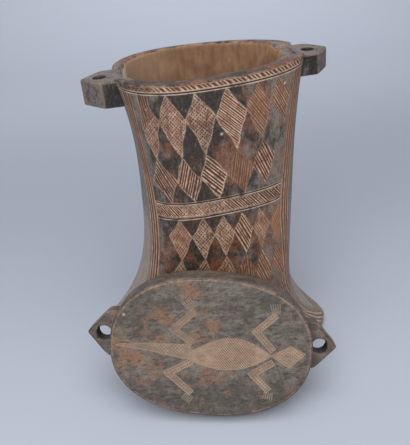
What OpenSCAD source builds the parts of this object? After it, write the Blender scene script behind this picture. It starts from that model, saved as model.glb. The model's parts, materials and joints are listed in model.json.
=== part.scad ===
// Carved wooden cosmetic box with a loose lid, millimetres.
// The box stands on its flared foot. The lid stands on the same floor and leans on the front of the box.
// The origin is the middle of the foot's underside, +Z is up and the carved front looks along -Y.

/* [Body] */
// Height of the box at the middle of its rim
body_h = 240; // [220:5:280]
// Width of the oval rim, without its lugs
rim_w = 141; // [129:2:157]
// Depth of the oval rim
rim_d = 100; // [90:2:112]
// Width of the body at its waist
waist_w = 119; // [110:1:128]
// Depth of the body at its waist
waist_d = 101; // [92:1:110]
// Height of the waist above the floor
waist_z = 130; // [100:5:150]
// Width of the flared foot, from drawn-out end to drawn-out end
foot_w = 194; // [180:2:214]
// Depth of the flared foot
foot_d = 120; // [112:2:136]
// Thickness of the foot at its edge
foot_edge = 8; // [5:0.5:12]
// Rounding of the foot's lower edge
foot_round = 3; // [1:0.5:4.5]
// How far the waist stands to the right of the foot's middle
waist_shift = 2; // [-2:0.5:4]
// How far the mouth stands to the right of the foot's middle
mouth_shift = -1; // [-4:0.5:4]

/* [Curves] */
// How late the body flares towards its rim
rim_flare = 2.8; // [1.5:0.1:4]
// How late the body deepens towards its foot
foot_flare = 3.4; // [2:0.1:5]
// How late the left side widens towards the foot
left_flare = 2.7; // [2.2:0.1:4]
// How late the right side widens towards the foot
right_flare = 5.4; // [3:0.1:6]
// How late the outline turns on its way down to the foot
turn_flare = 1.8; // [1.5:0.1:4]
// How late the outline turns pointed on its way down to the foot
point_flare = 4.3; // [1:0.1:5]
// Squareness of the rim's oval, 2 is an ellipse
rim_square = 2.3; // [2:0.1:3]
// Squareness of the waist's oval
waist_square = 2.9; // [2:0.1:3.5]
// How pointed the foot's ends are, 1 is an ellipse
foot_point = 1.2; // [1:0.05:1.5]
// Turn of the foot's oval against the rim's, in degrees
foot_turn = -13; // [-17:1:0]
// Share by which the mouth narrows towards its right end
mouth_taper = 0.14; // [0:0.02:0.2]
// Slope of the mouth, right side up, in degrees
mouth_slope = 3; // [0:0.5:5]

/* [Hollow] */
// Mean thickness of the wall at front and back
wall = 7; // [6.5:0.5:11]
// Thickness of the wall at the two ends
end_wall = 12; // [9:0.5:16]
// How far the hollow lies to the left of the body's middle
hollow_shift = 3; // [0:0.5:5]
// How far the hollow lies to the back of the body's middle
hollow_back = 2; // [0:0.5:2.5]
// Height of the hollow's floor
floor_z = 30; // [20:1:45]
// Rounding between the hollow's floor and its wall
floor_round = 8; // [4:1:12]

/* [Lugs of the box] */
// Width of a lug
lug_w = 33; // [26:1:40]
// Height of the right lug
right_lug_h = 15; // [12:0.5:20]
// Height of the left lug
left_lug_h = 18.5; // [12:0.5:22]
// How far a lug's top lies below the rim
lug_drop = 2.5; // [1:0.5:5]
// Diameter of the cord hole in a lug
lug_hole = 9.2; // [6:0.2:10]
// How far the right cord hole's middle stands outside the rim
right_hole_out = 4.2; // [4:0.2:9]
// How far the left cord hole's middle stands outside the rim
left_hole_out = 8.5; // [4:0.5:10]
// Length of a lug's straight sides past the rim
lug_side = 7.5; // [4:0.5:10]
// Reach of the right lug's point past the rim, before its rounding
right_lug_reach = 19.5; // [18.5:0.5:26]
// Reach of the left lug's point past the rim, before its rounding
left_lug_reach = 22.5; // [20:0.5:28]
// Rounding of the lugs' corners, on the box and on the lid
lug_round = 3; // [1:0.5:4]

/* [Lid] */
// How far the lid stands out past the rim at its two ends
lid_end_overhang = 3.6; // [0.6:0.2:5]
// How far the lid stands out past the rim at front and back
lid_side_overhang = 2.9; // [0.5:0.2:4]
// Squareness of the lid's oval, 2 is an ellipse
lid_square = 2.3; // [2:0.1:2.8]
// How far the lid's disc stands to the front of the line through its holes
lid_front = 3; // [0:0.5:4]
// Thickness of the lid
lid_t = 22; // [16:1:26]
// Rounding of the lid's upper edge
lid_round = 2.5; // [1:0.5:4]
// Width of a lid lug
lid_lug_w = 36; // [30:1:42]
// Thickness of a lid lug, level with the lid's underside
lid_lug_t = 11; // [8:0.5:14]
// Diameter of the cord hole in a lid lug
lid_hole = 11.4; // [7:0.2:12]
// Clearance between the lid's cord hole and the side of its disc
lid_hole_gap = 0.4; // [0.3:0.1:3]
// Length of a lid lug's straight sides past the disc
lid_lug_side = 3; // [1:0.5:6]
// Wood between the cord hole and the lid lug's point, before its rounding
lid_lug_nose = 7.1; // [6:0.2:11]
// Depth of the plug that drops into the mouth
plug_h = 14.5; // [8:0.5:18]
// Clearance between the plug and the mouth
plug_gap = 1.2; // [0.6:0.1:2]

/* [Lid as it stands] */
// Angle by which the standing lid's face looks up
lid_lean = 20; // [14:1:28]
// Turn of the standing lid about the upright
lid_turn = -12; // [-16:1:0]
// Turn of the lid in its own plane
lid_spin = -4; // [-8:0.5:4]
// Sideways place of the standing lid
lid_x = -18.5; // [-26:0.5:-10]
// Clearance between the lid and the front it leans on
lean_gap = 0.3; // [0.2:0.1:0.8]

/* [Hidden] */

// Corners round every oval, and rings up the body and up its hollow above the waist
oval_sides = 48;
body_rings = 20;
hollow_rings = 8;
// Rings crowd towards the foot by this power
ring_crowding = 1.4;
// Length by which a cutting solid passes the face it cuts
cut = 2;
bore_fn = 64;

lug_root = rim_w / 2 - end_wall - hollow_shift - cut;
right_hole_x = rim_w / 2 + right_hole_out;
left_hole_x = rim_w / 2 + left_hole_out;
lid_w = rim_w + 2 * lid_end_overhang;
lid_d = rim_d + 2 * lid_side_overhang;
lid_hole_x = lid_w / 2 + lid_hole_gap + lid_hole / 2;
lid_lug_root = lid_w / 2 - end_wall;

// Share of the way from the waist to the rim, and from the waist to the foot's edge
function above_waist(z) = max(0, (z - waist_z) / (body_h - waist_z));
function below_waist(z) = min(1, max(0, (waist_z - z) / (waist_z - foot_edge)));
function rim_share(z) = pow(above_waist(z), rim_flare);
function foot_share(z) = pow(below_waist(z), foot_flare);
function point_share(z) = pow(below_waist(z), point_flare);

// A value that is one thing at the waist, another at the rim and a third at the foot
function along(z, waist, rim, foot) =
    waist + (rim - waist) * rim_share(z) + (foot - waist) * foot_share(z);

// Half width of the body on one side, left where side is negative: the two sides widen at their own rate
function half_w(z, side) =
    let (share = pow(below_waist(z), side < 0 ? left_flare : right_flare))
    (waist_w + (rim_w - waist_w) * rim_share(z) + (foot_w - waist_w) * share) / 2;
function half_d(z) = along(z, waist_d, rim_d, foot_d) / 2;
function axis_x(z) = along(z, waist_shift, mouth_shift, 0);
function turn(z) = foot_turn * pow(below_waist(z), turn_flare);

// Powers that square an oval or draw out its ends: 1 and 1 make an ellipse
function upper_power(z) = along(z, 2 / waist_square, 2 / rim_square, 2 / waist_square);
function power_w(z) = upper_power(z) + (1 - 2 / waist_square) * point_share(z);
function power_d(z) = upper_power(z) + (foot_point - 2 / waist_square) * point_share(z);

// Share of the mouth's own taper and slope at a height: both fade out down to the foot
function mouth_share(z) = pow(z / body_h, 2);

// A power that keeps the sign of its base
function signed_pow(v, p) = sign(v) * pow(abs(v), p);

// One oval ring at height z with the body's outline at height level, drawn in at its ends and sides,
// moved left and back by the two shifts and lifted by the mouth's slope
function body_ring(z, level, end_inset = 0, side_inset = 0, left = 0, back = 0) = [
    for (i = [0 : oval_sides - 1])
        let (a = 360 * i / oval_sides,
             reach = half_w(level, cos(a)),
             along_x = (reach - end_inset) * signed_pow(cos(a), power_w(level)),
             narrow = 1 - mouth_taper * mouth_share(level) * along_x / reach,
             along_y = (half_d(level) - side_inset) * signed_pow(sin(a), power_d(level)) * narrow,
             x = along_x * cos(turn(level)) - along_y * sin(turn(level)) - left,
             y = along_x * sin(turn(level)) + along_y * cos(turn(level)) + back)
        [x + axis_x(level), y, z + tan(mouth_slope) * mouth_share(level) * x]
];

// One ring of the hollow: the body's ring less its walls, and less a further inset
function hollow_ring(z, level, inset = 0) =
    body_ring(z, level, end_wall + inset, wall + inset, hollow_shift, hollow_back);

// Front of the body at a place x and height z, zero outside it: the foremost crossing of its ring
function front_y(x, z) =
    let (ring = body_ring(z, z),
         crossings = [
             for (i = [0 : oval_sides - 1])
                 let (p = ring[i], q = ring[(i + 1) % oval_sides])
                 if ((p[0] - x) * (q[0] - x) < 0)
                     p[1] + (q[1] - p[1]) * (x - p[0]) / (q[0] - p[0])
         ])
    min(concat([0], crossings));

// The lid's oval outline less an inset, in front of the line through its holes
function lid_oval(inset = 0) = [
    for (i = [0 : oval_sides - 1])
        let (a = 360 * i / oval_sides)
        [(lid_w / 2 - inset) * signed_pow(cos(a), 2 / lid_square),
         (lid_d / 2 - inset) * signed_pow(sin(a), 2 / lid_square) - lid_front]
];

function at_height(outline, z) = [for (p = outline) [p[0], p[1], z]];

// Solid through a stack of rings that all have the same number of corners
module loft(rings) {
    sides = len(rings[0]);
    last = len(rings) - 1;
    points = [for (ring = rings) each ring];
    walls = [
        for (r = [0 : last - 1], i = [0 : sides - 1])
            let (j = (i + 1) % sides, a = r * sides, b = a + sides)
            each [[a + i, b + i, b + j], [a + i, b + j, a + j]]
    ];
    bottom = [for (i = [0 : sides - 1]) i];
    top = [for (i = [sides - 1 : -1 : 0]) last * sides + i];
    polyhedron(points, concat([bottom, top], walls));
}

// Outline of a lug: short straight sides and a rounded point, with its root inside what carries it
module lug_outline(root, shoulder, point, width) {
    offset(r = lug_round, $fn = bore_fn)
        offset(delta = -lug_round)
            polygon([[root, -width / 2], [shoulder, -width / 2], [point, 0],
                     [shoulder, width / 2], [root, width / 2]]);
}

module both_sides() {
    children();
    mirror([1, 0, 0]) children();
}

// The mouth's own frame: middle of the rim, leaning with the slope
module at_mouth() {
    translate([mouth_shift, 0, body_h])
        rotate([0, -mouth_slope, 0])
            children();
}

// Outer form of the box: rounded foot edge, flare, waist and flared rim in one skin
module body_form() {
    rounded = [
        for (a = [90, 60, 30, 0])
            let (inset = foot_round * (1 - cos(a)))
            body_ring(foot_round * (1 - sin(a)), 0, inset, inset)
    ];
    flare_rings = [
        for (k = [0 : body_rings])
            let (z = foot_edge + (body_h - foot_edge) * pow(k / body_rings, ring_crowding))
            body_ring(z, z)
    ];
    loft(concat(rounded, flare_rings));
}

// The hollow: a rounded floor, straight walls up to the waist, then the wall follows the outside
module hollow() {
    floor_rings = [
        for (a = [0, 30, 60, 90])
            let (inset = floor_round * (1 - sin(a)))
            hollow_ring(floor_z + floor_round * (1 - cos(a)), waist_z, inset)
    ];
    wall_rings = [
        for (k = [0 : hollow_rings])
            let (z = waist_z + (body_h - waist_z) * k / hollow_rings)
            hollow_ring(z, z)
    ];
    loft(concat(floor_rings, wall_rings, [hollow_ring(body_h + cut, body_h)]));
}

module box_lug(reach, height) {
    translate([0, 0, -lug_drop - height])
        linear_extrude(height)
            lug_outline(lug_root, rim_w / 2 + lug_side, rim_w / 2 + reach, lug_w);
}

module box_lugs() {
    box_lug(right_lug_reach, right_lug_h);
    mirror([1, 0, 0]) box_lug(left_lug_reach, left_lug_h);
}

// The mouth's two ends are cut down level with the tops of the lugs
module box_lug_tops() {
    translate([lug_root, -lug_w / 2, -lug_drop])
        cube([left_hole_x, lug_w, lug_drop + cut]);
}

module box_bore(hole_x, height) {
    translate([hole_x, 0, -lug_drop - height - cut])
        cylinder(h = height + 2 * cut, d = lug_hole, $fn = bore_fn);
}

module box_bores() {
    box_bore(right_hole_x, right_lug_h);
    box_bore(-left_hole_x, left_lug_h);
}

module box_body() {
    color("saddlebrown")
        difference() {
            union() {
                body_form();
                at_mouth() box_lugs();
            }
            hollow();
            at_mouth() {
                both_sides() box_lug_tops();
                box_bores();
            }
        }
}

// The disc of the lid, its underside at zero, with a worn round upper edge
module lid_disc() {
    upper = [
        for (a = [0, 30, 60, 90])
            at_height(lid_oval(lid_round * (1 - cos(a))), lid_t - lid_round * (1 - sin(a)))
    ];
    loft(concat([at_height(lid_oval(), 0)], upper));
}

// The plug has the mouth's outline, less the clearance
module lid_plug() {
    translate([0, 0, -plug_h])
        linear_extrude(plug_h + cut)
            polygon(plug_outline);
}

module lid_lugs() {
    linear_extrude(lid_lug_t)
        lug_outline(lid_lug_root, lid_w / 2 + lid_lug_side, lid_hole_x + lid_hole / 2 + lid_lug_nose,
                    lid_lug_w);
}

module lid_bores() {
    translate([lid_hole_x, 0, -cut])
        cylinder(h = lid_lug_t + 2 * cut, d = lid_hole, $fn = bore_fn);
}

// The mouth's outline less the plug's clearance, about the middle of the mouth
plug_outline = [
    for (p = hollow_ring(body_h, body_h, plug_gap))
        [p[0] - mouth_shift, p[1]]
];

// A point of the lid's own frame as it stands, before the lid is slid back against the box
function stood(p) =
    let (s = [p[0] * cos(lid_spin) - p[1] * sin(lid_spin),
              p[0] * sin(lid_spin) + p[1] * cos(lid_spin), p[2]],
         t = [s[0], s[1] * sin(lid_lean) - s[2] * cos(lid_lean),
              s[1] * cos(lid_lean) + s[2] * sin(lid_lean)])
    [t[0] * cos(lid_turn) - t[1] * sin(lid_turn),
     t[0] * sin(lid_turn) + t[1] * cos(lid_turn), t[2]];

// The lid stands on the lowest point of its underside's edge
lid_foot = [for (p = lid_oval()) stood([p[0], p[1], 0])];
lid_z = -min([for (p = lid_foot) p[2]]);

// It is slid back along the floor until its underside or its plug reaches the front of the box
plug_face = [for (p = plug_outline) stood([p[0], p[1], -plug_h])];
lid_y = min([
    for (p = concat(lid_foot, plug_face))
        front_y(p[0] + lid_x, p[2] + lid_z) - lean_gap - p[1]
]);

module lid() {
    color("dimgray")
        translate([lid_x, lid_y, lid_z])
            rotate([0, 0, lid_turn])
                rotate([90 - lid_lean, 0, 0])
                    rotate([0, 0, lid_spin])
                        difference() {
                            union() {
                                lid_disc();
                                lid_plug();
                                both_sides() lid_lugs();
                            }
                            both_sides() lid_bores();
                        }
}

box_body();
lid();
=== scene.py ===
"""Carved wooden cosmetic box with its lid leaning on its front.

The box is one hollowed block and the lid another, so each is one closed surface plus its pierced lugs.
Sizes are millimetres in the part's own frame and become metres where a mesh is made.
"""

import json

import bpy
import numpy as np
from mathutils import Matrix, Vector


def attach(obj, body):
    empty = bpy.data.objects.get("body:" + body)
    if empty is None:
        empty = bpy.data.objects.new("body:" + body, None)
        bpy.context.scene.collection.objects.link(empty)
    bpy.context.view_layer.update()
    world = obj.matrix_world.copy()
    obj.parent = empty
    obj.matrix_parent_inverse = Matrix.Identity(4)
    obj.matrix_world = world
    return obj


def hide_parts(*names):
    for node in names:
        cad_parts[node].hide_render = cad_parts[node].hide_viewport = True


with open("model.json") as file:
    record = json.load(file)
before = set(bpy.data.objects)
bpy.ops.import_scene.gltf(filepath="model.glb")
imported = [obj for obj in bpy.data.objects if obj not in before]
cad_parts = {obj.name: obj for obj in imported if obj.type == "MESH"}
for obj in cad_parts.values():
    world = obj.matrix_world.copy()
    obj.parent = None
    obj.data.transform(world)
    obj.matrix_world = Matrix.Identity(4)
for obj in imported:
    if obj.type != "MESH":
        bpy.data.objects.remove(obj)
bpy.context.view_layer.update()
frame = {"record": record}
mounts = {mount["name"]: mount for mount in frame["record"]["mounts"]}

# Body of the box
# One block of dense brown hardwood, hollowed from above and shaved outside to an oval waist and a flared
# foot with two drawn-out ends. The pattern is cut with a knife point, then oiled and blackened with use.

MM = 0.001
body_h = 240.0
rim_w, rim_d = 141.0, 100.0
waist_w, waist_d, waist_z = 119.0, 101.0, 130.0
foot_w, foot_d = 194.0, 120.0
foot_edge, foot_round = 8.0, 3.0
waist_shift, mouth_shift = 2.0, -1.0
rim_flare, foot_flare, left_flare, right_flare = 2.8, 3.4, 2.7, 5.4
turn_flare, point_flare = 1.8, 4.3
rim_square, waist_square, foot_point = 2.3, 2.9, 1.2
foot_turn, mouth_slope = np.radians(-13), np.radians(3)
mouth_taper = 0.14
wall, end_wall, hollow_shift, hollow_back = 7.0, 12.0, 3.0, 2.0
floor_z, floor_round = 30.0, 8.0
lug_w, lug_drop = 33.0, 2.5
front_angle, back_angle = np.radians(270), np.radians(90)


def signed_power(base, power):
    """A power that keeps the sign of its base."""
    return np.sign(base) * np.abs(base) ** power


def body_ring(angle, level, height=None, end_inset=0.0, side_inset=0.0, left=0.0, back=0.0):
    """Point of the body's oval at an angle round it and at a level above the floor, in millimetres.

    The oval is a squared ellipse whose width, depth, squareness and turn run from the waist to the rim
    by one power of the height and from the waist to the foot by others, later on the right than on the
    left. The mouth's taper and slope grow with the square of the level. Insets draw the oval in at its
    ends and sides, and left and back move it.
    """
    above = np.maximum(0, (level - waist_z) / (body_h - waist_z))
    below = np.clip((waist_z - level) / (waist_z - foot_edge), 0, 1)
    rim, foot, point = above**rim_flare, below**foot_flare, below**point_flare

    def run(waist, at_rim, at_foot):
        return waist + (at_rim - waist) * rim + (at_foot - waist) * foot

    widening = below ** np.where(np.cos(angle) < 0, left_flare, right_flare)
    half_w = (waist_w + (rim_w - waist_w) * rim + (foot_w - waist_w) * widening) / 2
    half_d = run(waist_d, rim_d, foot_d) / 2
    upper = run(2 / waist_square, 2 / rim_square, 2 / waist_square)
    power_w = upper + (1 - 2 / waist_square) * point
    power_d = upper + (foot_point - 2 / waist_square) * point
    mouth = (level / body_h) ** 2
    turn = foot_turn * below**turn_flare
    wide = (half_w - end_inset) * signed_power(np.cos(angle), power_w)
    narrow = 1 - mouth_taper * mouth * wide / half_w
    deep = (half_d - side_inset) * signed_power(np.sin(angle), power_d) * narrow
    x = wide * np.cos(turn) - deep * np.sin(turn) - left
    y = wide * np.sin(turn) + deep * np.cos(turn) + back
    z = (level if height is None else height) + np.tan(mouth_slope) * mouth * x
    return np.stack(np.broadcast_arrays(x + run(waist_shift, mouth_shift, 0.0), y, z), axis=-1)


def even_angles(fine_from, fine_to, fine_step, coarse_step):
    """Angles of the columns: even steps of length round the waist, fine ones on the front panel."""
    quarter = np.linspace(0, 4, 40001)
    angle = (quarter - np.sin(2 * np.pi * quarter) / (2 * np.pi)) * np.pi / 2
    ring = body_ring(angle, np.array(waist_z))
    length = np.concatenate([[0], np.cumsum(np.linalg.norm(np.diff(ring, axis=0), axis=1))])
    front = np.interp(front_angle, angle, length)
    girth = length[-1]
    fine = np.arange(fine_from, fine_to, fine_step)
    steps = int((girth - (fine_to - fine_from)) / coarse_step)
    coarse = np.linspace(fine_to, fine_from + girth, steps, endpoint=False)
    places = np.sort((np.concatenate([fine, coarse]) + front) % girth)
    return np.interp(places, length, angle)


columns = even_angles(fine_from=-88.0, fine_to=82.0, fine_step=0.75, coarse_step=2.7)
quarter_turn = np.linspace(0, np.pi / 2, 5)

# Rows of the closed surface, from the middle of the underside up the outside, over the rim and down to
# the middle of the hollow's floor. Each has a level, a height, a share of the wall's thickness by which it
# is drawn in, a further inset and a scale about its middle.
rows = []
rows += [(0.0, 0.0, 0.0, foot_round, scale) for scale in (0.3, 0.6, 0.85)]
rows += [
    (0.0, foot_round * (1 - np.sin(turn)), 0.0, foot_round * (1 - np.cos(turn)), 1.0)
    for turn in quarter_turn[::-1]
]
first_outside = len(rows)
foot_step, panel_step, panel_low = 1.4, 0.75, 60
outside_levels = np.concatenate([np.arange(foot_edge, panel_low, foot_step),
                                 np.arange(panel_low, body_h - 0.8, panel_step)])
rows += [(level, level, 0.0, 0.0, 1.0) for level in outside_levels]
last_outside = len(rows)
rim_profile = ((0.00, -0.6), (0.04, -0.15), (0.12, 0.0), (0.4, 0.0), (0.7, 0.0), (0.9, -0.1), (1.0, -0.8))
rows += [(body_h, body_h + drop, share, 0.0, 1.0) for share, drop in rim_profile]
first_inside = len(rows)
rows += [(level, level, 1.0, 0.0, 1.0) for level in np.linspace(body_h - 3, waist_z, 20)]
rows += [(waist_z, height, 1.0, 0.0, 1.0) for height in np.linspace(waist_z - 8, floor_z + floor_round, 8)]
rows += [
    (waist_z, floor_z + floor_round * (1 - np.sin(turn)), 1.0, floor_round * (1 - np.cos(turn)), 1.0)
    for turn in quarter_turn[1:]
]
rows += [(waist_z, floor_z, 1.0, floor_round, scale) for scale in (0.75, 0.5, 0.25)]
level, height, share, inset, scale = np.array(rows).T[:, :, None]
body = body_ring(columns[None, :], level, height, end_wall * share + inset, wall * share + inset,
                 hollow_shift * share, hollow_back * share)
middle = body.mean(axis=1, keepdims=True)
body[..., :2] = middle[..., :2] + scale[..., None] * (body[..., :2] - middle[..., :2])

# The mouth's two ends are cut down to just under the tops of the lugs, over the lugs' width.
cut_ease, cut_under = 1.2, 0.2
lug_top = body_h + (body[..., 0] - mouth_shift) * np.tan(mouth_slope) - lug_drop / np.cos(mouth_slope)
beside_lug = np.clip((np.abs(body[..., 1]) - lug_w / 2) / cut_ease + 0.5, 0, 1)
hollow_end = rim_w / 2 - end_wall - hollow_shift - 2
between_lugs = np.clip((hollow_end - np.abs(body[..., 0] - mouth_shift)) / cut_ease, 0, 1)
cut_to = lug_top - cut_under + (lug_drop + 2) * np.maximum(beside_lug, between_lugs)
body[..., 2] = np.minimum(body[..., 2], cut_to)


def around(points, angle):
    """Length in millimetres along each row from the column at that angle, negative to its left."""
    step = np.linalg.norm(np.diff(points, axis=1, append=points[:, :1]), axis=-1)
    girth = step.sum(axis=1, keepdims=True)
    length = np.cumsum(step, axis=1) - step
    start = np.array([np.interp(angle, columns, row) for row in length])[:, None]
    return (length - start + girth / 2) % girth - girth / 2


def smooth(value, low, high):
    """Share from 0 at low to 1 at high, with eased ends."""
    share = np.clip((value - low) / (high - low), 0, 1)
    return share * share * (3 - 2 * share)


def from_line(x, y, points):
    """Distance of each place from a broken line of points."""
    nearest = np.full(np.shape(x), np.inf)
    for (x0, y0), (x1, y1) in zip(points[:-1], points[1:]):
        run_x, run_y = x1 - x0, y1 - y0
        share = np.clip(((x - x0) * run_x + (y - y0) * run_y) / np.hypot(run_x, run_y) ** 2, 0, 1)
        nearest = np.minimum(nearest, np.hypot(x - x0 - share * run_x, y - y0 - share * run_y))
    return nearest


# The carved panel, in lengths round the body from the middle of a face and levels above the floor.
# Its borders run down the corners of the body and sweep out along the two ends of the foot.
left_border = ((-76, 240), (-74.5, 203), (-71, 180), (-67, 157), (-65, 136), (-65, 107), (-67, 76),
               (-73, 52), (-81, 39), (-88, 31), (-100, 20), (-119, 10))
right_border = ((73, 240), (65, 212), (59.5, 190), (56, 165), (54, 145), (54, 124), (58, 98), (65, 71),
                (71.8, 54), (78.5, 43), (83.3, 34), (87.5, 26.9), (96, 19.2), (108, 13), (120, 9))
border_w, border_pitch = 10.5, 3.1
band_level, band_tilt = 146.1, 0.056
band_half, band_line = 4.4, 6.2
rope_level, rope_half, rope_line = 237.0, 1.7, 234.2
band_slope, band_pitch = np.radians(48), 1.6
rope_slope, rope_pitch = np.radians(46), 2.5
line_thinned = 0.15
# Ends of the hatched columns, their mean width, and how the rows lean under and over the band
field_left, field_right, column_w = -58.0, 64.0, 15.0
lower_tilt, right_lift, lift_from = 0.03, 0.006, 8.0
# A narrow strip of upright strokes at the upper left: its middle and half its width and height
corner_arc, corner_level, corner_half_w, corner_half_h = -55.0, 220.0, 4.0, 13.0
# A distance past the reach of every mark
far_off = 9.0
# Levels of the upper tips, side corners and lower tips of each row of lozenges, from the top down
lozenge_rows = ((233.4, 215.5, 189.0), (189.0, 171.3, 153.3), (138.0, 123.0, 102.0), (102.0, 84.0, 66.0),
                (66.0, 50.0, 34.0))
# Where the tips of the columns stand at six levels, with one more column past each end
tips_at = ((233.4, (-77, -56, -38.6, -18.7, 2.8, 25.2, 42.5, 62)),
           (189.0, (-70, -50, -31.6, -14.1, 8.3, 27.1, 47.6, 66)),
           (153.3, (-59, -41.1, -23.6, -6.5, 13.7, 28.8, 46, 63)),
           (138.0, (-55, -37.1, -18.5, -4, 10.3, 25.3, 41, 56)),
           (102.0, (-53, -35.3, -17.8, -0.7, 14.7, 27.6, 41.4, 56)),
           (34.0, (-75, -50, -25, 0, 22, 44, 66, 88)))
# Each lozenge was hatched by itself: slope of its strokes in degrees, their spacing, whether a second set
# crosses them, how light its ground is and how clear its strokes are. Rows run from the top, columns from
# the left.
hatch_slope = np.radians(((50, 50, 46, 44, 55, 58), (60, -77, 46, -82, 64, 64), (-62, 52, 50, 62, 58, 65),
                          (60, -62, 60, 80, 62, 58), (50, 60, -60, 62, 58, 60)))
hatch_pitch = np.array(((1.7, 1.7, 1.8, 1.5, 1.7, 1.7), (1.9, 1.9, 2.2, 1.7, 2.0, 2.0),
                        (1.8, 1.9, 1.9, 2.0, 1.7, 1.7), (1.9, 1.9, 1.9, 1.8, 1.9, 2.0),
                        (2.0, 2.0, 2.0, 2.0, 2.0, 2.0)))
hatch_crossed = np.array(((1, 1, 1, 0, 0, 0), (0, 0, 0, 0, 0, 0), (1, 1, 1, 0, 1, 0), (1, 0, 1, 0, 0, 0),
                          (0, 1, 0, 0, 1, 0)))
hatch_light = np.array(((0.3, 0.3, 0.15, 0.85, 0.6, 0.6), (0.15, 0.25, 0.35, 0.35, 0.3, 0.4),
                        (0.6, 0.25, 0.4, 0.6, 0.6, 1.2), (0.4, 0.4, 0.45, 0.5, 0.65, 0.7),
                        (0.5, 0.5, 0.5, 0.5, 0.5, 0.5)))
hatch_clear = np.array(((0.5, 0.6, 0.57, 1.0, 0.42, 0.5), (0.55, 0.7, 1.0, 0.25, 0.7, 0.0),
                        (0.5, 0.75, 0.75, 1.0, 0.5, 0.2), (0.6, 0.7, 0.6, 0.4, 0.6, 0.4),
                        (0.6, 0.6, 0.6, 0.6, 0.6, 0.6)))


def column_at(arc, level):
    """Number of the lozenge column at a place, in parts, running straight between the listed tips."""
    places = [np.interp(arc, tips, np.arange(-1, 7)) for _, tips in tips_at]
    column = places[0]
    for (high, _), (low, _), at_high, at_low in zip(tips_at, tips_at[1:], places, places[1:]):
        share = np.clip((high - level) / (high - low), 0, 1)
        column = np.where(level < high, at_high + share * (at_low - at_high), column)
    return column


def stroke_count(arc, level, slope, pitch):
    """Strokes passed, which fall to the right at a slope and stand unevenly, about a pitch apart."""
    even = (arc * np.sin(slope) + level * np.cos(slope)) / pitch
    uneven, beat = 0.16, 1.9
    return even + uneven * np.sin(beat * even)


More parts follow.
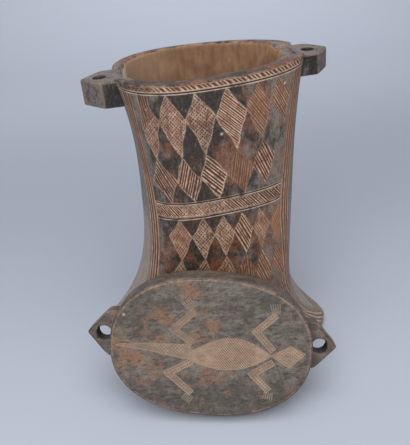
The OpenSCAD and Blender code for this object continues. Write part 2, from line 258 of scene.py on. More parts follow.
def carving(arc, level):
    """What the knife cut at a place of the panel, as marks by name.

    Field is the depth inside a hatched shape and line the distance from the nearest single line, both in
    millimetres. First and second count the strokes of the hatch, crossed is the share of the second set,
    light and clear say how pale the ground of the hatch and how distinct its strokes are, and steady keeps
    the strokes from breaking up. Outline is the strength of the pale line round a shape, the handling and
    sheen mark the grey bloom of the smooth surface, partly handling and partly painted sheen toward the
    sides with painted light on the plain flanks and foot ends, and flake a chip of white.
    """
    band_rise = band_tilt * arc
    rise = (band_rise + right_lift * np.maximum(arc - lift_from, 0) ** 2) * smooth(level, 236, 196)
    flat = np.where(level > band_level, level - rise, level - lower_tilt * arc)
    # The hand sways by about half a millimetre along an edge.
    sway = 0.45 * np.sin(0.31 * level + 0.12 * arc) + 0.35 * np.sin(0.27 * arc - 0.17 * level)
    column = column_at(arc + sway, flat)
    nearest = np.clip(np.round(column), 0, 5).astype(int)
    off = np.abs(column - nearest)
    left_edge = np.interp(level, [p[1] for p in left_border[::-1]], [p[0] for p in left_border[::-1]])
    right_edge = np.interp(level, [p[1] for p in right_border[::-1]], [p[0] for p in right_border[::-1]])
    from_left = np.where(arc > left_edge, 1, -1) * from_line(arc, level, left_border)
    from_right = np.where(arc < right_edge, 1, -1) * from_line(arc, level, right_border)
    inside = np.minimum(from_left, from_right)
    inner = np.minimum(np.minimum(inside - border_w, arc - field_left), field_right - arc)

    field = np.full(arc.shape, -far_off)
    row = np.zeros(arc.shape, dtype=int)
    for number, (top, corner, low) in enumerate(lozenge_rows):
        half = 0.5 * np.minimum((top - flat) / (top - corner), (flat - low) / (corner - low))
        depth = column_w * (half - off)
        row = np.where(depth > field, number, row)
        field = np.maximum(field, depth)
    slope, pitch = hatch_slope[row, nearest], hatch_pitch[row, nearest]
    marks = {
        "first": stroke_count(arc, level, slope, pitch),
        "second": stroke_count(arc, level, -slope, pitch),
        "crossed": hatch_crossed[row, nearest].astype(float),
        "light": hatch_light[row, nearest],
        "clear": hatch_clear[row, nearest],
    }
    field = np.minimum(field, inner)
    # The last place of the second row was left plain.
    field = np.where((row == 1) & (nearest == 5), -far_off, field)

    from_band = level - band_rise - band_level
    on_foot_end = smooth(level, 72, 48) * smooth(np.abs(arc), 58, 74)
    rope_begun = smooth(arc, -52, -40)

    border = np.minimum(np.minimum(inside + 0.5, border_w - inside), rope_line - 1.5 - level)
    border_first = inside / (border_pitch - 1.2 * on_foot_end)
    border_light = 0.4 + 0.25 * smooth(arc, 0, 60)
    border_clear = 0.6 - 0.22 * smooth(level, 140, 180)
    corner_strip = np.minimum(corner_half_w - np.abs(arc - corner_arc),
                              corner_half_h - np.abs(level - corner_level))
    corner_first = (arc + 0.1 * level) / 1.9
    band = np.minimum(band_half - np.abs(from_band), inner)
    band_first, band_second = (stroke_count(arc, level, way * band_slope, band_pitch) for way in (1, -1))
    band_crossed = np.where(np.abs(arc + 18) < 16, 1.0, 0.0)
    rope = rope_half - np.abs(level - rope_level)
    rope_first, rope_second = (stroke_count(arc, level, way * rope_slope, rope_pitch) for way in (1, -1))
    rope_clear = 0.25 + 0.65 * rope_begun

    marks["steady"] = np.zeros(arc.shape)
    cut_marks = ("first", "second", "crossed", "light", "clear", "steady")
    for shape, *values in (
        (border, border_first, 0.0, 0.0, border_light, border_clear, 0.8),
        (corner_strip, corner_first, 0.0, 0.0, 0.25, 0.4, 0.0),
        (band, band_first, band_second, band_crossed, 0.35, 0.8, 0.0),
        (rope, rope_first, rope_second, 1 - rope_begun, 0.6 * rope_begun, rope_clear, 0.3),
    ):
        for mark, value in zip(cut_marks, values):
            marks[mark] = np.where(shape > field, value, marks[mark])
        field = np.maximum(field, shape)

    line = np.abs(level - rope_line)
    for offset in (-band_line, band_line):
        line = np.minimum(line, np.maximum(np.abs(from_band - offset), -inner))
    marks["field"] = field
    marks["line"] = line + line_thinned
    outline = 0.65 * np.maximum(smooth(arc, 28, 12), 0.5 * (level > 150)) * marks["clear"]
    marks["outline"] = np.where(border >= field - 0.01, 0.0, outline)
    # Grey bloom: part handling, part painted sheen toward the sides, painted light on flanks and foot ends
    handled_and_sheen = np.interp(arc, (-60, -46, -32, -5, 15, 30, 50), (0.5, 0.2, 0.0, 0.05, 0.25, 0.4, 0.6))
    painted_flank_light = smooth(inside, -1, -6) * smooth(level, 150, 110)
    past_border = np.maximum(smooth(inside, 4, -2), on_foot_end)
    marks["handled_and_sheen"] = np.maximum(handled_and_sheen, 0.9 * past_border) + 0.4 * painted_flank_light
    marks["flake"] = np.zeros(arc.shape)
    for flake_arc, flake_level in ((-2.6, 201.9), (48.5, 227.1)):
        marks["flake"] += np.exp(-((arc - flake_arc) ** 2 + (level - flake_level) ** 2) / 0.6)
    return marks


outside = slice(first_outside, last_outside + 1)
from_front = around(body, front_angle)
from_back = around(body, back_angle)
on_front = np.abs(from_front) < np.abs(from_back)
arc = np.where(on_front, from_front, from_back)
levels = np.broadcast_to(level, arc.shape)
body_marks = carving(arc, levels)
is_outside = np.zeros(arc.shape)
is_outside[outside] = 1
is_carved = (is_outside > 0) & ((beside_lug > 0.6) | (levels < 205))
body_marks["field"] = np.where(is_carved, body_marks["field"], -far_off)
body_marks["line"] = np.where(is_carved, body_marks["line"], far_off)


def hatching(marks):
    """Share of a hatch stroke's depth at each place: one round-bottomed stroke for each whole count."""
    first = 0.5 + 0.5 * np.cos(2 * np.pi * marks["first"])
    second = 0.5 + 0.5 * np.cos(2 * np.pi * marks["second"])
    return marks["clear"] * np.maximum(first, marks["crossed"] * second)


def outward(points):
    """Unit normals of a grid whose columns close on themselves."""
    across = np.roll(points, -1, axis=1) - np.roll(points, 1, axis=1)
    along = np.gradient(points, axis=0)
    normal = np.cross(across, along)
    return normal / np.maximum(np.linalg.norm(normal, axis=-1, keepdims=True), 1e-9)


line_depth, hatch_depth, field_depth = 0.7, 0.35, 0.15
depth = line_depth * (1 - smooth(body_marks["line"], 0.15, 0.85))
in_field = smooth(body_marks["field"], -0.2, 0.4)
depth = np.maximum(depth, in_field * (field_depth + hatch_depth * hatching(body_marks)))
body -= is_outside[..., None] * depth[..., None] * outward(body)


def closed_mesh(name, grid, marks, first_pole=None, last_pole=None):
    """A mesh from a grid of points whose columns close on themselves.

    Its first and last rows close on a middle point each, or on each other where no pole is given.
    Marks are values at the points, for the material to read by name.
    """
    count, sides = grid.shape[:2]
    index = np.arange(count * sides).reshape(count, sides)
    points = grid.reshape(-1, 3)
    if first_pole is None:
        index = np.vstack([index, index[:1]])
    right = np.roll(index, -1, axis=1)
    quads = np.stack([index[:-1], right[:-1], right[1:], index[1:]], axis=-1).reshape(-1, 4)
    faces = quads.tolist()
    if first_pole is not None:
        points = np.vstack([points, first_pole, last_pole])
        low, high = count * sides, count * sides + 1
        faces += np.stack([np.full(sides, low), right[0], index[0]], axis=-1).tolist()
        faces += np.stack([np.full(sides, high), index[-1], right[-1]], axis=-1).tolist()
    mesh = bpy.data.meshes.new(name)
    mesh.from_pydata((points * MM).tolist(), [], faces)
    mesh.polygons.foreach_set("use_smooth", np.ones(len(faces), dtype=bool))
    piece = bpy.data.objects.new(name, mesh)
    bpy.context.scene.collection.objects.link(piece)
    for mark, values in marks.items():
        layer = mesh.attributes.new(mark, "FLOAT", "POINT")
        spread = np.pad(values.ravel(), (0, len(points) - values.size), mode="edge")
        layer.data.foreach_set("value", spread.astype(np.float32))
    return piece


# The rim's outer and inner edges and its back are tan: partly wear, partly painted highlight
worn = np.zeros(arc.shape)
worn[[last_outside, first_inside - 1]] = 0.8
worn[last_outside:first_inside] += 0.55 * smooth(body[last_outside:first_inside, :, 1], 5, 30)
# The left flank has a tan stripe down its middle.
tan_stripe = np.exp(-((body[..., 1] + 12) / 8) ** 2) * smooth(levels, 128, 105) * smooth(levels, 36, 52)
tan_stripe *= is_outside * (body[..., 0] < 0)
body_marks["worn"] = np.minimum(worn, 0.9) * smooth(np.abs(body[..., 1]), 16, 36) + 0.85 * tan_stripe
# Warm patches where the oil is thin: strength, place round the body, level, width and height
red_patch = np.zeros(arc.shape)
for strength, patch_arc, patch_level, patch_w, patch_h in (
    (1.0, 3, 178, 11, 12), (1.0, 0, 80, 17, 15), (0.6, 22, 208, 9, 14),
):
    off_arc, off_level = (arc - patch_arc) / patch_w, (levels - patch_level) / patch_h
    red_patch += strength * np.exp(-off_arc ** 2 - off_level ** 2)
red_patch += 0.4 * smooth(levels, 142, 110) * smooth(np.abs(arc + 28), 8, 20) + 0.35 * smooth(arc, 20, 45)
red_patch -= 0.5 * smooth(levels, 200, 216) * smooth(arc, 16, 6) * smooth(arc, -50, -40)
body_marks["ruddy"] = red_patch * is_outside
row_number = np.arange(len(rows))[:, None]
on_rim = (row_number >= last_outside) & (row_number < first_inside)
rim_handled = 0.5 - 0.45 * smooth(np.abs(body[..., 1]), 14, 36)
body_marks["handled_and_sheen"] = np.where(on_rim, rim_handled, body_marks["handled_and_sheen"])
body_marks["ruddy"] = np.where(on_rim, 0.1, body_marks["ruddy"])
carved_body = closed_mesh("carved_body", body, body_marks, body[:1].mean(axis=1), body[-1:].mean(axis=1))


def linear(hex_colour):
    """Linear red, green, blue and alpha of an sRGB colour written as six hex digits."""
    channels = np.array([int(hex_colour[i:i + 2], 16) for i in (0, 2, 4)]) / 255
    lit = np.where(channels <= 0.04045, channels / 12.92, ((channels + 0.055) / 1.055) ** 2.4)
    return (*lit.tolist(), 1.0)


def add(tree, kind, inputs, **settings):
    """Adds one node: settings are its properties, inputs its sockets' values or the outputs they take."""
    made = tree.nodes.new(kind)
    for name, value in settings.items():
        setattr(made, name, value)
    for socket, value in inputs.items():
        if isinstance(value, bpy.types.NodeSocket):
            tree.links.new(value, made.inputs[socket])
        else:
            made.inputs[socket].default_value = value
    return made


def new_material(name):
    """An empty node material with its output, and the tree to build in."""
    material = bpy.data.materials.new(name)
    material.use_nodes = True
    material.node_tree.nodes.clear()
    return material, material.node_tree


def carved_patina(name, grain_stretch, patch_scale, pores, shoulder, dark, warm, grey, ground, tan, pale,
                  gap, line, rubbed_and_lit):
    """Oiled and blackened hardwood with knife-cut hatching.

    The smooth surface is dark with warm patches where the oil is thin, a grey bloom that is partly
    handling and partly painted sheen toward the sides, a paler painted light on the plain flanks, and fine
    dark pores. Hatched shapes are scraped to a brown ground between two tones. Their strokes are cut
    through to pale wood, broken by wear, with dirt in the gaps between them. Single lines have their own
    colour and two pale shoulders, partly rubbed wear and partly painted highlight, and edges show the
    rubbed colour, partly as wear and partly as painted highlight. Patch scale is the warm patches' noise
    scale per metre, and pores and shoulder are the strengths of those two.
    """
    material, tree = new_material(name)
    place = add(tree, "ShaderNodeTexCoord", {}).outputs["Object"]
    grain_place = add(tree, "ShaderNodeMapping", {"Vector": place, "Scale": grain_stretch}).outputs[0]

    def noise(vector, scale, detail):
        return add(tree, "ShaderNodeTexNoise", {
            "Vector": vector, "Scale": scale, "Detail": detail, "Roughness": 0.68}).outputs[0]

    def mark(mark_name):
        return add(tree, "ShaderNodeAttribute", {}, attribute_name=mark_name).outputs["Fac"]

    def share(value, low, high):
        return add(tree, "ShaderNodeMapRange", {"Value": value, "From Min": low, "From Max": high},
                   interpolation_type="SMOOTHSTEP").outputs[0]

    def mix(amount, under, over):
        return add(tree, "ShaderNodeMix", {0: amount, 6: under, 7: over}, data_type="RGBA").outputs[2]

    def maths(operation, a, b):
        return add(tree, "ShaderNodeMath", {0: a, 1: b}, operation=operation).outputs[0]

    # Noise scales are per metre: bloom of about 7 mm, streaks of 6 mm, grain of 1.5 mm and specks of 1 mm
    patches = noise(place, patch_scale, 6.0)
    bloom = noise(place, 140.0, 6.0)
    streaks = noise(grain_place, 170.0, 4.0)
    grain = noise(grain_place, 600.0, 4.0)
    specks = noise(place, 800.0, 3.0)

    warmth = maths("ADD", patches, maths("MULTIPLY", mark("ruddy"), 0.3))
    surface = mix(share(warmth, 0.47, 0.68), linear(dark), linear(warm))
    clouds = maths("ADD", maths("MULTIPLY", bloom, 0.6), maths("MULTIPLY", streaks, 0.6))
    # Grey bloom from noise and the bloom mark: partly handling, partly painted sheen toward the sides
    greyness = maths("ADD", clouds, maths("MULTIPLY", mark("handled_and_sheen"), 0.45))
    surface = mix(maths("MULTIPLY", share(greyness, 0.62, 0.92), 0.85), surface, linear(grey))
    # Painted light: where the bloom mark passes 0.9, on the plain flanks, a pale grey is laid over
    surface = mix(maths("MULTIPLY", share(mark("handled_and_sheen"), 0.9, 1.3), 0.7), surface, linear("b3aaa3"))
    surface = mix(maths("MULTIPLY", share(grain, 0.5, 0.3), pores), surface, linear(gap))
    surface = mix(maths("MULTIPLY", share(specks, 0.5, 0.3), 0.7), surface, linear(gap))
    surface = mix(maths("MULTIPLY", share(grain, 0.52, 0.72), 0.35), surface, linear(grey))
    surface = mix(maths("MULTIPLY", share(specks, 0.55, 0.75), 0.4), surface, linear(warm))

    uneven = maths("SUBTRACT", maths("ADD", patches, bloom), 1.0)
    lightness = maths("ADD", mark("light"), maths("MULTIPLY", uneven, 0.9))
    scraped = mix(lightness, linear(ground), linear(tan))
    # Painted sheen: the scraped ground turns grey on the outer border, the flanks and the ends of the foot
    scraped = mix(maths("MULTIPLY", share(mark("handled_and_sheen"), 0.74, 0.9), 0.8), scraped, linear(grey))
    phase_a = maths("PINGPONG", mark("first"), 0.5)
    phase_b = maths("PINGPONG", mark("second"), 0.5)
    stroke_b = maths("MULTIPLY", share(phase_b, 0.27, 0.1), mark("crossed"))
    stroke = maths("MAXIMUM", share(phase_a, 0.27, 0.1), stroke_b)
    dirt_b = maths("SUBTRACT", 1.0, maths("MULTIPLY", share(phase_b, 0.42, 0.24), mark("crossed")))
    dirt = maths("MULTIPLY", share(phase_a, 0.24, 0.42), dirt_b)
    dirt = maths("MULTIPLY", dirt, maths("SUBTRACT", 0.8, maths("MULTIPLY", mark("crossed"), 0.3)))
    unbroken = maths("ADD", maths("MULTIPLY", share(grain, 0.36, 0.62), 0.6), share(bloom, 0.35, 0.7))
    unbroken = maths("MAXIMUM", unbroken, mark("steady"))
    stroke = maths("MULTIPLY", stroke, maths("MULTIPLY", mark("clear"), unbroken))
    hatched = mix(maths("MULTIPLY", dirt, mark("clear")), scraped, linear(gap))
    hatched = mix(maths("MINIMUM", stroke, 1.0), hatched, linear(pale))
    hatched = mix(maths("MULTIPLY", share(grain, 0.52, 0.34), 0.25), hatched, linear(ground))
    surface = mix(share(mark("field"), -0.25, 0.2), surface, hatched)
    outline = maths("MULTIPLY", share(maths("ABSOLUTE", mark("field"), 0.0), 0.6, 0.2), mark("outline"))
    surface = mix(maths("MULTIPLY", outline, share(specks, 0.3, 0.6)), surface, linear(pale))
    # Pale shoulders beside each single line: partly rubbed wear, partly painted highlight on the groove
    # edges
    edges = maths("SUBTRACT", share(mark("line"), 1.6, 1.1), share(mark("line"), 0.8, 0.55))
    edges = maths("MULTIPLY", edges, share(bloom, 0.3, 0.55))
    surface = mix(maths("MULTIPLY", edges, shoulder), surface, linear(pale))
    cut = maths("MULTIPLY", share(mark("line"), 0.8, 0.4), share(specks, 0.2, 0.5))
    surface = mix(cut, surface, linear(line))
    # Edges in the rubbed colour: partly wear, partly painted highlight
    wear_and_highlight = maths("MULTIPLY", mark("worn"), share(bloom, 0.38, 0.6))
    surface = mix(wear_and_highlight, surface, linear(rubbed_and_lit))
    surface = mix(mark("flake"), surface, linear("dcd8d2"))

    rough = maths("ADD", maths("MULTIPLY", grain, 0.6), maths("MULTIPLY", specks, 0.4))
    bump = add(tree, "ShaderNodeBump", {"Strength": 0.4, "Distance": 0.0006, "Height": rough}).outputs[0]
    gloss = add(tree, "ShaderNodeMapRange", {"Value": bloom, "To Min": 0.45, "To Max": 0.7}).outputs[0]
    shader = add(tree, "ShaderNodeBsdfPrincipled", {
        "Base Color": surface, "Roughness": gloss, "Normal": bump, "Specular IOR Level": 0.35})
    add(tree, "ShaderNodeOutputMaterial", {"Surface": shader.outputs[0]})
    return material


# Grain of the block runs upright, so its noise is drawn out along the height.
patina = carved_patina(
    "oiled_blackened_hardwood", grain_stretch=(1.0, 1.0, 0.35), patch_scale=50.0, pores=0.45, shoulder=0.7,
    dark="37322d", warm="7d503a", grey="8c837a", ground="553627", tan="a06e50", pale="d2b6a0", gap="2c1f19",
    line="2a1f1a", rubbed_and_lit="a5856e")
carved_body.data.materials.append(patina)

# The hollow is bare tan wood with upright tool marks, never blackened.
bare_wood, bare_tree = new_material("bare_hollowed_hardwood")
bare_place = add(bare_tree, "ShaderNodeTexCoord", {}).outputs["Object"]
streak_place = add(bare_tree, "ShaderNodeMapping", {
    "Vector": bare_place, "Scale": (1.0, 1.0, 0.3)}).outputs[0]
streaks = add(bare_tree, "ShaderNodeTexNoise", {
    "Vector": streak_place, "Scale": 260.0, "Detail": 6.0}).outputs[0]
stain = add(bare_tree, "ShaderNodeTexNoise", {
    "Vector": bare_place, "Scale": 60.0, "Detail": 6.0}).outputs[0]
bare_x = add(bare_tree, "ShaderNodeSeparateXYZ", {0: bare_place}).outputs[0]
# Streaks, then darker stains, then the left end rubbed pale, each between two values and up to a share
bare_colour = linear("84634a")
for value, low, high, most, colour in (
    (streaks, 0.35, 0.65, 1.0, "a07c60"),
    (stain, 0.42, 0.7, 0.75, "74523a"),
    (bare_x, -0.015, -0.055, 0.7, "b0957c"),
):
    amount = add(bare_tree, "ShaderNodeMapRange", {
        "Value": value, "From Min": low, "From Max": high, "To Max": most}).outputs[0]
    bare_colour = add(bare_tree, "ShaderNodeMix", {
        0: amount, 6: bare_colour, 7: linear(colour)}, data_type="RGBA").outputs[2]
tool_marks = add(bare_tree, "ShaderNodeBump", {"Strength": 0.4, "Distance": 0.0008, "Height": streaks})
bare_shader = add(bare_tree, "ShaderNodeBsdfPrincipled", {
    "Base Color": bare_colour, "Roughness": 0.72, "Normal": tool_marks.outputs[0]})
add(bare_tree, "ShaderNodeOutputMaterial", {"Surface": bare_shader.outputs[0]})
carved_body.data.materials.append(bare_wood)
inside_faces = np.zeros(len(carved_body.data.polygons), dtype=np.int32)
inside_faces[(first_inside - 1) * len(columns):] = 1
inside_faces[-2 * len(columns):-len(columns)] = 0
carved_body.data.polygons.foreach_set("material_index", inside_faces)
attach(carved_body, "box")
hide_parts("box_body")

# Lugs of the box
# Two pierced lugs left standing from the same block at the ends of the mouth, five-sided from above, with
# a plain hole for the cord. Their faces are flat adze cuts, blackened most and rubbed pale at the corners.


lug_sides, bore_rows = 120, 9


def pierced_lug(name, mount, outward_x, root, shoulder, point, half_w, half_t, hole_r, top_bloom, edge_wear,
                tip_wear):
    """A five-sided plate with a hole through it, as one closed tube of rows round the hole.

    Each column looks one way from the hole's axis. Its radius to the outline is the reach to the nearest of
    the five straight sides, their corners eased by a power mean: one at the root, one at each half width
    and two slants from the shoulders to the point. The rows go from the hole's edge out along the
    underside, up the side, back along the top and down the hole. Top bloom is how grey the top is, and the
    two wears say how much the edges and the point are rubbed.
    """
    normal = np.array(mount["axis"])
    outward_x = outward_x - normal * (outward_x @ normal)
    outward_x = outward_x / np.linalg.norm(outward_x)
    sideways = np.cross(normal, outward_x)
    look = np.linspace(-np.pi, np.pi, lug_sides, endpoint=False)
    slant = np.arctan2(point - shoulder, half_w)
    slant_far = point * np.cos(slant)
    sides = ((np.pi, root), (np.pi / 2, half_w), (-np.pi / 2, half_w), (slant, slant_far),
             (-slant, slant_far))
    sharpness = 14
    nearness = sum((np.maximum(np.cos(look - way), 1e-3) / far) ** sharpness for way, far in sides)
    reach = nearness ** (-1 / sharpness)
    gap, edge_r = 0.6, 1.0
    ease = np.linspace(0, np.pi / 2, 5)
    profile = [(0.0, gap - 0.7, -half_t), (0.0, gap, -half_t), (0.35, 0, -half_t), (0.7, 0, -half_t)]
    profile += [(1.0, -edge_r * (1 - np.sin(a)), -half_t + edge_r * (1 - np.cos(a))) for a in ease]
    profile += [(1.0, 0, height) for height in np.linspace(-half_t + 2, half_t - 2, 10)]
    profile += [(1.0, -edge_r * (1 - np.cos(a)), half_t - edge_r * (1 - np.sin(a))) for a in ease]
    profile += [(share, 0, half_t) for share in (0.9, 0.75, 0.6, 0.45, 0.3, 0.15)]
    profile += [(0.0, gap, half_t), (0.0, gap - 0.7, half_t - 0.6)]
    profile += [(0.0, 0, height) for height in np.linspace(half_t - 2, -half_t + 1, bore_rows - 1)]
    share, ease_in, height = np.array(profile).T[:, :, None]
    radius = hole_r + share * (reach - hole_r) + ease_in
    x, y = radius * np.cos(look), radius * np.sin(look)
    centre = np.array(mount["pos_m"]) / MM
    grid = centre + x[..., None] * outward_x + y[..., None] * sideways + height[..., None] * normal
    corner_look = np.arctan2(half_w, shoulder)
    worn = np.broadcast_to(np.where((share == 1) & (ease_in < 0), edge_wear, 0.0), x.shape)
    on_corner = 0.5 * np.exp(-((np.abs(look) - corner_look) / 0.06) ** 2)
    worn = np.where(share == 1, np.maximum(worn, on_corner), worn)
    worn = np.maximum(worn, tip_wear * np.exp(-(look / 0.4) ** 2) * smooth(share, 0.2, 0.9))
    # Painted light: the slanted faces toward the point are greyer, as if lit from the side; top grey, hole
    # less
    handled_and_sheen = np.where(np.abs(look) < corner_look, 0.5, 0.0)
    handled_and_sheen = np.where((height >= half_t) & (share < 1), top_bloom, handled_and_sheen)
    handled_and_sheen = np.where((share == 0) & (height < half_t), -0.5, handled_and_sheen)
    none = np.zeros(x.shape)
    return closed_mesh(name, grid, {
        "field": none - far_off, "line": none + far_off, "worn": worn, "handled_and_sheen": handled_and_sheen})


blackened = carved_patina(
    "blackened_lug_hardwood", grain_stretch=(1.0, 1.0, 0.4), patch_scale=70.0, pores=0.4, shoulder=0.0,
    dark="2b2928", warm="50443b", grey="857a73", ground="4a3228", tan="8d6851", pale="8f7a6c", gap="1d1a19",
    line="2a201c", rubbed_and_lit="94806f")
lug_hole_r = 4.6
for name, mount_name, way, root, shoulder, point, half_t in (
    ("right_lug", "right_lug_hole", 1.0, 12.2, 3.3, 15.3, 7.5),
    ("left_lug", "left_lug_hole", -1.0, 16.5, -1.0, 14.0, 9.25),
):
    lug = pierced_lug(name, mounts[mount_name], np.array([way, 0.0, 0.0]), root, shoulder, point, lug_w / 2,
                      half_t, lug_hole_r, top_bloom=0.6, edge_wear=0.6, tip_wear=0.0)
    lug.data.materials.append(blackened)
    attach(lug, "box")
    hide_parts("box_body")

# Lid
# A second block: an oval disc with an eased upper edge, a low plug under it that drops into the mouth, and
# a lizard with bent legs cut into its top. The grain runs along the disc and the patina is grey-brown.
lid_w, lid_d, lid_t, lid_round = 148.2, 105.8, 22.0, 2.5
lid_square, lid_front = 2.3, 3.0
lid_lug_w, lid_lug_t, lid_hole_r = 36.0, 11.0, 5.7
plug_h, plug_gap = 14.5, 1.2
lid_up = np.array(mounts["lid_right_hole"]["axis"])
lid_right = np.array(mounts["lid_right_hole"]["pos_m"]) / MM
lid_left = np.array(mounts["lid_left_hole"]["pos_m"]) / MM
lid_x = (lid_right - lid_left) / np.linalg.norm(lid_right - lid_left)
lid_y = np.cross(lid_up, lid_x)
lid_middle = (lid_right + lid_left) / 2 - lid_up * lid_lug_t / 2

# The disc lies a little in front of the line through its two holes, and the plug under it does not.
turn = np.linspace(0, 2 * np.pi, 640, endpoint=False)
disc = np.stack([lid_w / 2 * signed_power(np.cos(turn), 2 / lid_square),
                 lid_d / 2 * signed_power(np.sin(turn), 2 / lid_square)], axis=-1)
disc_middle = np.array([0.0, -lid_front])
oval = disc_middle + disc
plug = body_ring(turn, np.array(body_h), end_inset=end_wall + plug_gap, side_inset=wall + plug_gap,
                 left=hollow_shift, back=hollow_back)
plug = plug[..., :2] - np.array([mouth_shift, 0.0])
lid_rows = [(plug * share, -plug_h) for share in (0.3, 0.6, 0.9, 0.985)]
lid_rows += [(plug, height) for height in (-plug_h + 0.7, -plug_h / 2, -0.6)]
lid_rows += [(plug + (oval - plug) * share, 0.0) for share in (0.05, 0.35, 0.7, 0.96)]
lid_rows += [(oval, height) for height in np.linspace(0.5, lid_t - lid_round, 9)]
for ease in np.linspace(0, np.pi / 2, 7)[1:]:
    drawn_in = 1 - lid_round * (1 - np.cos(ease)) / np.array([lid_w / 2, lid_d / 2])
    lid_rows.append((disc_middle + disc * drawn_in, lid_t - lid_round * (1 - np.sin(ease))))
first_top = len(lid_rows)
top_edge = lid_rows[-1][0] - disc_middle
lid_rows += [(disc_middle + top_edge * share, lid_t) for share in np.linspace(1, 0, 125)[1:-1]]
lid_flat = np.stack([row[0] for row in lid_rows])
lid_height = np.array([row[1] for row in lid_rows])[:, None]
x, y = lid_flat[..., 0], lid_flat[..., 1]

# The lizard, in the lid's own x and y: tail and body between two curves, a four-sided head, and four legs
# as bent strips of two rows of cells that end in a row of toes.
tail_x, tail_low_x = (-68.8, -44.1, -18.6), (-68.9, -44.3, -19.1)
tail_high, tail_low = (-3.5, -1.6, -0.6), (-4.7, -7.2, -11.6)
tail_from, tail_to, trunk_from, trunk_to = -68.8, -15.0, -16.0, 45.5
back_x = (-14.9, -7.7, 1.5, 12.2, 24.5, 34.1, 43.7)
back_y = (-5.6, -2.1, 2.8, 5.9, 4.6, 1.1, -4.8)
belly_x = (-14.6, -3.3, 7.6, 20.0, 30.8, 37.8, 43.8)
belly_y = (-12.6, -16.5, -18.4, -17.4, -14.1, -10.2, -6.4)
head = ((43.8, -5.6), (57.6, -13.8), (68.8, -2.7), (57.8, 2.8))
legs = (
    ((45.5, -1.9), (32.2, 12.0), (45.9, 25.4), (44.5, 33.5)),
    ((46.1, -10.4), (31.3, -20.4), (44.2, -32.8), (43.4, -39.2)),
    ((-12.9, 0.6), (-27.4, 10.2), (-12.6, 25.1), (-19.5, 32.4)),
    ((-12.8, -12.9), (-30.2, -23.4), (-12.5, -38.3), (-17.0, -44.5)),
)
leg_half, rung = 2.6, 1.9
trunk_pitch, tail_pitch, skull_pitch = 1.4, 2.7, 1.9
trunk_way = (0.74, 0.67)
lid_line_thinned = 0.27

tail = np.minimum(np.interp(x, tail_x, tail_high) - y, y - np.interp(x, tail_low_x, tail_low))
tail = np.minimum(tail, np.minimum(x - tail_from, tail_to - x))
back = np.polyval(np.polyfit(back_x, back_y, 4), x)
belly = np.polyval(np.polyfit(belly_x, belly_y, 4), x)
trunk = np.minimum(np.minimum(back - y, y - belly), np.minimum(x - trunk_from, trunk_to - x))
skull_sides = []
for (x0, y0), (x1, y1) in zip(head, head[1:] + head[:1]):
    skull_sides.append(((x1 - x0) * (y - y0) - (y1 - y0) * (x - x0)) / np.hypot(x1 - x0, y1 - y0))
skull = np.min(skull_sides, axis=0)
lid_field = np.maximum(np.maximum(tail, trunk), skull)
lid_line = np.minimum(np.minimum(np.abs(tail), np.abs(trunk)), np.abs(skull))
on_trunk, on_skull = trunk > np.maximum(tail, skull), skull > np.maximum(tail, trunk)
lid_first = np.where(on_trunk, (trunk_way[0] * x + trunk_way[1] * y) / trunk_pitch, (x + y) / tail_pitch)
lid_first = np.where(on_skull, skull_sides[0] / skull_pitch, lid_first)
lid_second = np.where(on_trunk, (trunk_way[0] * x - trunk_way[1] * y) / trunk_pitch, (x - y) / tail_pitch)
lid_second = np.where(on_skull, skull_sides[1] / skull_pitch, lid_second)
lid_crossed = np.where(on_trunk, np.maximum(smooth(x, 10, -4), smooth(x, 28, 36)), 1.0)
lid_clear = np.where(on_trunk, 0.65, np.where(on_skull, 0.5, 0.1 + 0.3 * smooth(x, -50, -40)))


def strip(start, end, past_end):
    """Depth inside a straight strip of a leg, and the lengths along it and off its middle line."""
    (x0, y0), (x1, y1) = start, end
    whole = np.hypot(x1 - x0, y1 - y0)
    along = ((x - x0) * (x1 - x0) + (y - y0) * (y1 - y0)) / whole
    off = ((x - x0) * (y1 - y0) - (y - y0) * (x1 - x0)) / whole
    return np.minimum(leg_half - np.abs(off), np.minimum(along, whole + past_end - along)), along, off


for shoulder_at, elbow, wrist, toes in legs:
    upper, upper_along, upper_off = strip(shoulder_at, elbow, leg_half)
    lower, lower_along, lower_off = strip(wrist, elbow, leg_half)
    on_leg = np.maximum(upper, lower)
    along = np.where(upper > lower, upper_along, lower_along)
    off = np.where(upper > lower, upper_off, lower_off)
    here = on_leg > np.maximum(lid_field, -0.3)
    lid_first = np.where(here, along / rung, lid_first)
    lid_second = np.where(here, off / (leg_half - 0.3), lid_second)
    lid_crossed = np.where(here, 1.0, lid_crossed)
    # The upper left leg is worn.
    faint = 0.3 if shoulder_at[0] < 0 < shoulder_at[1] else 0.0
    lid_clear = np.where(here, 0.5 - faint, lid_clear)
    lid_line = np.minimum(lid_line, np.abs(on_leg - 0.3) + faint)
    lid_field = np.maximum(lid_field, on_leg)
    reach = np.array(toes) - np.array(wrist)
    side = np.array([-reach[1], reach[0]]) / np.hypot(*reach)
    for spread in (-3.4, -1.7, 0.0, 1.7, 3.4):
        start = np.array(wrist) + 0.2 * reach + 0.8 * spread * side
        end = np.array(toes) + spread * side
        lid_line = np.minimum(lid_line, from_line(x, y, (start, end)))
on_top = np.zeros(x.shape)
on_top[first_top:] = 1
lid_field = np.where(on_top > 0, lid_field, -far_off)
lid_line = np.where(on_top > 0, lid_line + lid_line_thinned, far_off)

lid_grid = (lid_middle + x[..., None] * lid_x + y[..., None] * lid_y
            + np.broadcast_to(lid_height, x.shape)[..., None] * lid_up)
lid_light = np.where(trunk > 0, 0.9, np.where(skull > 0, 0.7, 0.4))
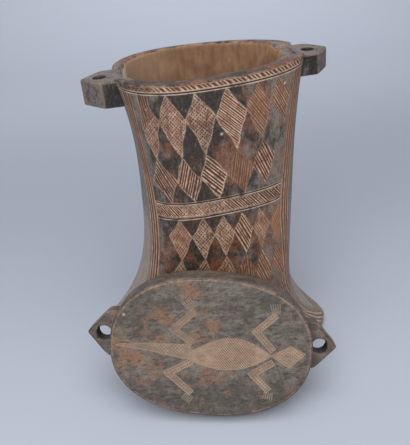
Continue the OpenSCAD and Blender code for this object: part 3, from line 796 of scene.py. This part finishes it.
# Warm patches where the patina has worn thin, as places and radii, most of them on the left
lid_patch = np.zeros(x.shape)
for spot_x, spot_y, spot_r in ((-16.8, 38.8, 7), (-33.7, 18.5, 6), (0.9, 14.5, 6), (-12.4, 4.5, 5),
                               (-2.3, -23.4, 7), (-62, -8, 7), (-53.1, -14.8, 5)):
    lid_patch += np.exp(-((x - spot_x) / spot_r) ** 2 - ((y - spot_y) / spot_r) ** 2)
lid_ruddy = 0.8 * lid_patch + 0.2 * smooth(x, 10, -50) * smooth(y, 22, 2) - 0.2 * smooth(y, -24, -36)
lid_ruddy -= 0.25 * smooth(x, -8, 15) * smooth(y, -12, 8) * (1 - np.minimum(lid_patch, 1))
lid_handled = 0.36 - 0.25 * smooth(y, -16, -40) - 0.1 * smooth(y, 0, 25) * smooth(x, 0, 20)
lid_handled -= 0.3 * lid_patch + 0.2 * smooth(x, -28, -46) * smooth(y, -4, 10)
lid_worn = np.zeros(x.shape)
# The eased upper edge is tan all round: partly wear, partly painted highlight from the light above
lid_worn[first_top - 2] = 1
lid_marks = {
    "field": lid_field, "line": lid_line, "first": lid_first, "second": lid_second, "crossed": lid_crossed,
    "light": lid_light * on_top, "clear": lid_clear * on_top, "handled_and_sheen": lid_handled, "worn": lid_worn,
    "ruddy": lid_ruddy * on_top, "flake": 0.6 * np.exp(-((x + 64) ** 2 + (y - 19) ** 2) / 0.8) * on_top,
}
lid_line_depth, lid_hatch_depth, lid_field_depth = 0.4, 0.3, 0.1
lid_depth = lid_line_depth * (1 - smooth(lid_line, 0.1, 0.6))
in_lid_field = smooth(lid_field, -0.1, 0.4)
lid_depth = np.maximum(lid_depth, in_lid_field * (lid_field_depth + lid_hatch_depth * hatching(lid_marks)))
lid_grid -= (on_top * lid_depth)[..., None] * lid_up
lid_poles = lid_grid[:1].mean(axis=1), lid_grid[-1:].mean(axis=1)
carved_lid = closed_mesh("carved_lid", lid_grid, lid_marks, *lid_poles)
lid_patina = carved_patina(
    "grey_brown_lid_hardwood", grain_stretch=(0.3, 1.0, 1.0), patch_scale=95.0, pores=0.9, shoulder=0.0,
    dark="524e48", warm="856652", grey="827b73", ground="6f6153", tan="977c69", pale="b89d87", gap="3f342d",
    line="958270", rubbed_and_lit="a87a5e")
carved_lid.data.materials.append(lid_patina)
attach(carved_lid, "lid")
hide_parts("lid")

# Lugs of the lid
# Pointed and pierced, left standing from the lid's block at the height of its underside, so that they lie
# on the lugs of the box when the lid is on and one cord runs through both.
lid_lug_root, lid_lug_shoulder, lid_lug_point = 18.1, -3.1, 12.8
for name, mount_name, way in (
    ("lid_right_lug", "lid_right_hole", 1.0),
    ("lid_left_lug", "lid_left_hole", -1.0),
):
    lug = pierced_lug(name, mounts[mount_name], way * lid_x, lid_lug_root, lid_lug_shoulder, lid_lug_point,
                      lid_lug_w / 2, lid_lug_t / 2, lid_hole_r,
                      top_bloom=0.2, edge_wear=0.25, tip_wear=0.55)
    lug.data.materials.append(lid_patina)
    lug.data.materials.append(blackened)
    bore_faces = np.zeros(len(lug.data.polygons), dtype=np.int32)
    bore_faces[-bore_rows * lug_sides:] = 1
    lug.data.polygons.foreach_set("material_index", bore_faces)
    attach(lug, "lid")
    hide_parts("lid")

# Floor and backdrop
# A sheet of pale blue-grey paper that runs back flat and then sweeps up, so that no edge shows.
sheet_half, sheet_front, sheet_back, sweep = 2600.0, -1500.0, 900.0, 700.0
sheet_columns = 9
across_sheet = np.linspace(-sheet_half, sheet_half, sheet_columns)
curl = np.linspace(0, np.pi / 2, 24)
profile_y = np.concatenate([[sheet_front, 0.0], sheet_back + sweep * np.sin(curl), [sheet_back + sweep]])
profile_z = np.concatenate([[0.0, 0.0], sweep * (1 - np.cos(curl)), [sweep * 3]])
sheet = np.broadcast_arrays(across_sheet[None, :], profile_y[:, None], profile_z[:, None])
sheet = np.stack(sheet, axis=-1)
at = np.arange(len(profile_y) * sheet_columns).reshape(-1, sheet_columns)
paper_faces = np.stack([at[:-1, :-1], at[:-1, 1:], at[1:, 1:], at[1:, :-1]], axis=-1).reshape(-1, 4)
paper_mesh = bpy.data.meshes.new("paper")
paper_mesh.from_pydata((sheet.reshape(-1, 3) * MM).tolist(), [], paper_faces.tolist())
paper_mesh.polygons.foreach_set("use_smooth", np.ones(len(paper_faces), dtype=bool))
paper = bpy.data.objects.new("paper", paper_mesh)
bpy.context.scene.collection.objects.link(paper)
# Painted shade: the paper is a little darker in a soft band behind the box, its middle and reach in metres.
paper_shade_band_y, paper_shade_band_reach = 0.27, 0.42
matt_paper, paper_tree = new_material("matt_blue_grey_paper")
paper_place = add(paper_tree, "ShaderNodeTexCoord", {}).outputs["Object"]
paper_y = add(paper_tree, "ShaderNodeSeparateXYZ", {0: paper_place}).outputs[1]
behind_box = add(paper_tree, "ShaderNodeMath", {
    0: paper_y, 1: paper_shade_band_y}, operation="SUBTRACT").outputs[0]
off_band = add(paper_tree, "ShaderNodeMath", {0: behind_box}, operation="ABSOLUTE").outputs[0]
painted_shade_share = add(paper_tree, "ShaderNodeMapRange", {
    "Value": off_band, "From Min": paper_shade_band_reach, "From Max": 0.02},
    interpolation_type="SMOOTHSTEP").outputs[0]
graded = add(paper_tree, "ShaderNodeMix", {
    0: painted_shade_share, 6: linear("b9c0ce"), 7: linear("a9b0be")}, data_type="RGBA").outputs[2]
paper_shader = add(paper_tree, "ShaderNodeBsdfPrincipled", {"Base Color": graded, "Roughness": 0.9})
add(paper_tree, "ShaderNodeOutputMaterial", {"Surface": paper_shader.outputs[0]})
paper_mesh.materials.append(matt_paper)

# Light
# A large soft box overhead, a weaker one from the front left and one that lights the paper behind the box.
for name, place, aim_at, size, power in (
    ("overhead_soft_box", (-0.1, -0.5, 1.3), (0, 0, 0.1), 1.2, 13.5),
    ("front_soft_box", (-0.6, -1.2, 0.9), (0, 0, 0.1), 1.0, 8.0),
    ("paper_soft_box", (0.3, 1.3, 1.2), (0.3, 1.9, 0.5), 1.2, 9.0),
):
    lamp = bpy.data.lights.new(name, "AREA")
    lamp.size = size
    lamp.energy = power
    holder = bpy.data.objects.new(name, lamp)
    holder.location = place
    aim = Vector(aim_at) - holder.location
    holder.rotation_euler = aim.to_track_quat("-Z", "Y").to_euler()
    bpy.context.scene.collection.objects.link(holder)
world = bpy.data.worlds.new("room")
world.use_nodes = True
world.node_tree.nodes["Background"].inputs["Color"].default_value = linear("d2d0cd")
world.node_tree.nodes["Background"].inputs["Strength"].default_value = 0.45
bpy.context.scene.world = world

# Camera
# It looks down at the front from a little to the left, with a slight roll, as in the photograph.
focal_px, frame_h_px = 600.0, 445.0
elevation, roll, swing = np.radians(30.1), np.radians(-2.3), np.radians(8.9)
distance = 502.3
target = np.array([-7.6, 0.0, 103.5])
upright = np.array([[np.cos(swing), np.sin(swing), 0], [-np.sin(swing), np.cos(swing), 0], [0, 0, 1]])
view_back = np.array([0, -np.cos(elevation), np.sin(elevation)])
level_right = np.array([1.0, 0.0, 0.0])
level_up = np.array([0, np.sin(elevation), np.cos(elevation)])
view_right = np.cos(roll) * level_right + np.sin(roll) * level_up
view_up = np.cos(roll) * level_up - np.sin(roll) * level_right
axes = np.stack([view_right, view_up, view_back, target + distance * view_back], axis=-1)
camera_data = bpy.data.cameras.new("camera")
camera_data.sensor_width = 36.0
camera_data.lens = camera_data.sensor_width * focal_px / frame_h_px
camera = bpy.data.objects.new("camera", camera_data)
placed = np.eye(4)
placed[:3] = upright @ axes
placed[:3, 3] *= MM
camera.matrix_world = Matrix(placed.tolist())
bpy.context.scene.collection.objects.link(camera)
bpy.context.scene.camera = camera

bpy.context.scene.view_settings.view_transform = "Standard"
